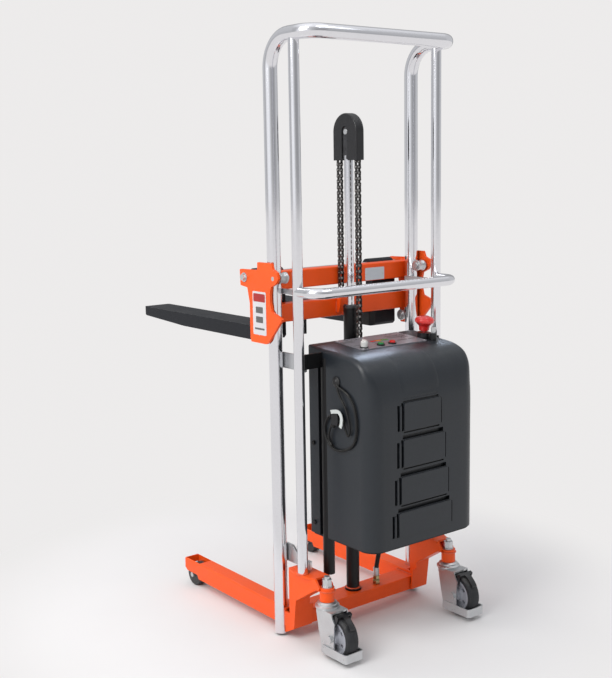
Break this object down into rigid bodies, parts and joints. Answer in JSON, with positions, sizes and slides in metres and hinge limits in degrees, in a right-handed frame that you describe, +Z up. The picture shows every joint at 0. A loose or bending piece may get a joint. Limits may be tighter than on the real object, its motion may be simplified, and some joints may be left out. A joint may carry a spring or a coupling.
{
  "type": "walkie stacker",
  "caption": "Battery-lift walkie stacker: bent-tube mast with chain-lifted fork carriage, hydraulic and battery box behind it, load legs with rollers, braked swivel casters.",
  "frame": {"origin": "on the floor, under the middle of the machine's bounding box", "axes": "+Z up, +Y towards the fork tips, +X to the right of an operator standing behind the machine and facing the mast"},
  "size_m": [0.578, 1.022, 1.6434],
  "materials": {
    "chrome_tube": "polished chrome plate",
    "zinc_steel": "bright zinc plate",
    "black_paint": "satin black paint",
    "orange_paint": "semi-gloss powder coat with light orange peel",
    "roller_nylon": "worn nylon",
    "dark_steel": "oiled steel",
    "black_plastic": "moulded",
    "black_rubber": "matte",
    "fork_paint": "satin dark grey paint, rubbed on the load face",
    "tyre_rubber": "worn tread",
    "hub_plastic": "moulded light grey",
    "cover_plastic": "grained moulded plastic, slight sheen",
    "battery_case": "moulded",
    "hydraulic_unit": "semi-gloss black",
    "charger_case": "ribbed anodised",
    "panel_grey": "printed aluminium panel",
    "red_plastic": "glossy",
    "green_plastic": "glossy",
    "white_plastic": "glossy"
  },
  "bodies": {
    "base": {"mast_front_tube": "chrome_tube", "mast_rear_tubes": "chrome_tube", "handle_bar": "chrome_tube", "mast_tie_plates": "zinc_steel", "box_brackets": "black_paint", "leg_left": "orange_paint", "leg_right": "orange_paint", "caster_bracket_left": "orange_paint", "caster_bracket_right": "orange_paint", "base_crossmember": "orange_paint", "cylinder_barrel": "black_paint", "cylinder_gland": "dark_steel", "chain_rear_fall": "dark_steel", "chain_anchor_fixed": "black_paint", "caster_stems": "zinc_steel", "rear_cover": "cover_plastic", "box_frame": "black_paint", "battery": "battery_case", "power_pack": "hydraulic_unit", "battery_charger": "charger_case", "control_panel": "panel_grey", "switch_bodies": "black_plastic", "hydraulic_hose": "black_rubber", "charger_cable": "black_rubber", "cover_bolts": "black_paint", "frame_bolts": "zinc_steel"},
    "ram": {"piston_rod": "chrome_tube", "piston": "dark_steel", "chain_wheel_yoke": "dark_steel", "chain_wheel_axle": "zinc_steel", "chain_wheel_cover": "black_plastic", "chain_wrap": "dark_steel"},
    "chain_wheel": {"chain_wheel": "dark_steel"},
    "carriage": {"carriage_side_plate_left": "orange_paint", "carriage_side_plate_right": "orange_paint", "carriage_crossbars": "orange_paint", "chain_anchor_carriage": "orange_paint", "carriage_bumpers": "black_rubber", "fork_shaft": "zinc_steel", "carriage_fasteners": "zinc_steel", "chain_front_fall": "dark_steel"},
    "upper_rollers": {"guide_rollers_upper": "zinc_steel"},
    "lower_rollers": {"guide_rollers_lower": "zinc_steel"},
    "fork_left": {"fork_left": "fork_paint"},
    "fork_right": {"fork_right": "fork_paint"},
    "load_roller_left": {"load_roller_left": "roller_nylon"},
    "load_roller_right": {"load_roller_right": "roller_nylon"},
    "caster_left": {"caster_fork_left": "zinc_steel"},
    "caster_right": {"caster_fork_right": "zinc_steel"},
    "wheel_left": {"caster_tyre_left": "tyre_rubber", "caster_hub_left": "hub_plastic"},
    "wheel_right": {"caster_tyre_right": "tyre_rubber", "caster_hub_right": "hub_plastic"},
    "brake_left": {"caster_brake_left": "black_plastic"},
    "brake_right": {"caster_brake_right": "black_plastic"},
    "estop": {"emergency_stop_button": "red_plastic"},
    "raise_button": {"push_button_raise": "green_plastic"},
    "lower_button": {"push_button_lower": "red_plastic"},
    "key": {"key_switch_key": "zinc_steel"},
    "selector": {"selector_knob": "white_plastic"}
  },
  "joints": [
    {"name": "ram_lift", "type": "slide", "parent": "base", "child": "ram", "axis": [0, 0, 1], "range_m": [-0.365, 0.2], "deforming": ["chain_rear_fall"]},
    {"name": "carriage_lift", "type": "slide", "parent": "ram", "child": "carriage", "axis": [0, 0, 1], "range_m": [-0.365, 0.2], "deforming": ["chain_front_fall"]},
    {"name": "chain_wheel_spin", "type": "hinge", "parent": "ram", "child": "chain_wheel", "pos_m": [0, -0.2146, 1.385], "axis": [1, 0, 0], "range_deg": [-560, 310]},
    {"name": "upper_rollers_spin", "type": "hinge", "parent": "carriage", "child": "upper_rollers", "pos_m": [0, -0.232, 1.003], "axis": [1, 0, 0], "range_deg": [-1690, 3080]},
    {"name": "lower_rollers_spin", "type": "hinge", "parent": "carriage", "child": "lower_rollers", "pos_m": [0, -0.166, 0.852], "axis": [1, 0, 0], "range_deg": [-3080, 1690]},
    {"name": "fork_left_slide", "type": "slide", "parent": "carriage", "child": "fork_left", "axis": [1, 0, 0], "range_m": [-0.018, 0.15]},
    {"name": "fork_right_slide", "type": "slide", "parent": "carriage", "child": "fork_right", "axis": [1, 0, 0], "range_m": [-0.15, 0.018]},
    {"name": "load_roller_left_spin", "type": "hinge", "parent": "base", "child": "load_roller_left", "pos_m": [-0.228, 0.268, 0.035], "axis": [1, 0, 0], "continuous": true},
    {"name": "caster_left_swivel", "type": "hinge", "parent": "base", "child": "caster_left", "pos_m": [-0.228, -0.377, 0.14], "axis": [0, 0, 1], "continuous": true},
    {"name": "caster_left_wheel_spin", "type": "hinge", "parent": "caster_left", "child": "wheel_left", "pos_m": [-0.228, -0.425, 0.0625], "axis": [1, 0, 0], "continuous": true},
    {"name": "caster_left_brake_pedal", "type": "hinge", "parent": "caster_left", "child": "brake_left", "pos_m": [-0.228, -0.435, 0.104], "axis": [1, 0, 0], "range_deg": [-12, 4]},
    {"name": "load_roller_right_spin", "type": "hinge", "parent": "base", "child": "load_roller_right", "pos_m": [0.228, 0.268, 0.035], "axis": [1, 0, 0], "continuous": true},
    {"name": "caster_right_swivel", "type": "hinge", "parent": "base", "child": "caster_right", "pos_m": [0.228, -0.377, 0.14], "axis": [0, 0, 1], "continuous": true},
    {"name": "caster_right_wheel_spin", "type": "hinge", "parent": "caster_right", "child": "wheel_right", "pos_m": [0.228, -0.425, 0.0625], "axis": [1, 0, 0], "continuous": true},
    {"name": "caster_right_brake_pedal", "type": "hinge", "parent": "caster_right", "child": "brake_right", "pos_m": [0.228, -0.435, 0.104], "axis": [1, 0, 0], "range_deg": [-12, 4]},
    {"name": "emergency_stop_push", "type": "slide", "parent": "base", "child": "estop", "axis": [0, 0.0789, -0.9969], "range_m": [0, 0.004]},
    {"name": "raise_button_push", "type": "slide", "parent": "base", "child": "raise_button", "axis": [0, 0.0789, -0.9969], "range_m": [0, 0.0025]},
    {"name": "lower_button_push", "type": "slide", "parent": "base", "child": "lower_button", "axis": [0, 0.0789, -0.9969], "range_m": [0, 0.0025]},
    {"name": "key_turn", "type": "hinge", "parent": "base", "child": "key", "pos_m": [0.158, -0.38458, 0.82981], "axis": [0, -0.0789, 0.9969], "range_deg": [0, 90]},
    {"name": "selector_turn", "type": "hinge", "parent": "base", "child": "selector", "pos_m": [-0.08, -0.36579, 0.82126], "axis": [0, -0.0789, 0.9969], "range_deg": [-60, 60]}
  ],
  "couplings": [
    {"joint": "carriage_lift", "follows": "ram_lift", "ratio": 1},
    {"joint": "chain_wheel_spin", "follows": "ram_lift", "rad_per_m": 26.19},
    {"joint": "upper_rollers_spin", "follows": "ram_lift", "rad_per_m": -147},
    {"joint": "lower_rollers_spin", "follows": "ram_lift", "rad_per_m": 147}
  ]
}
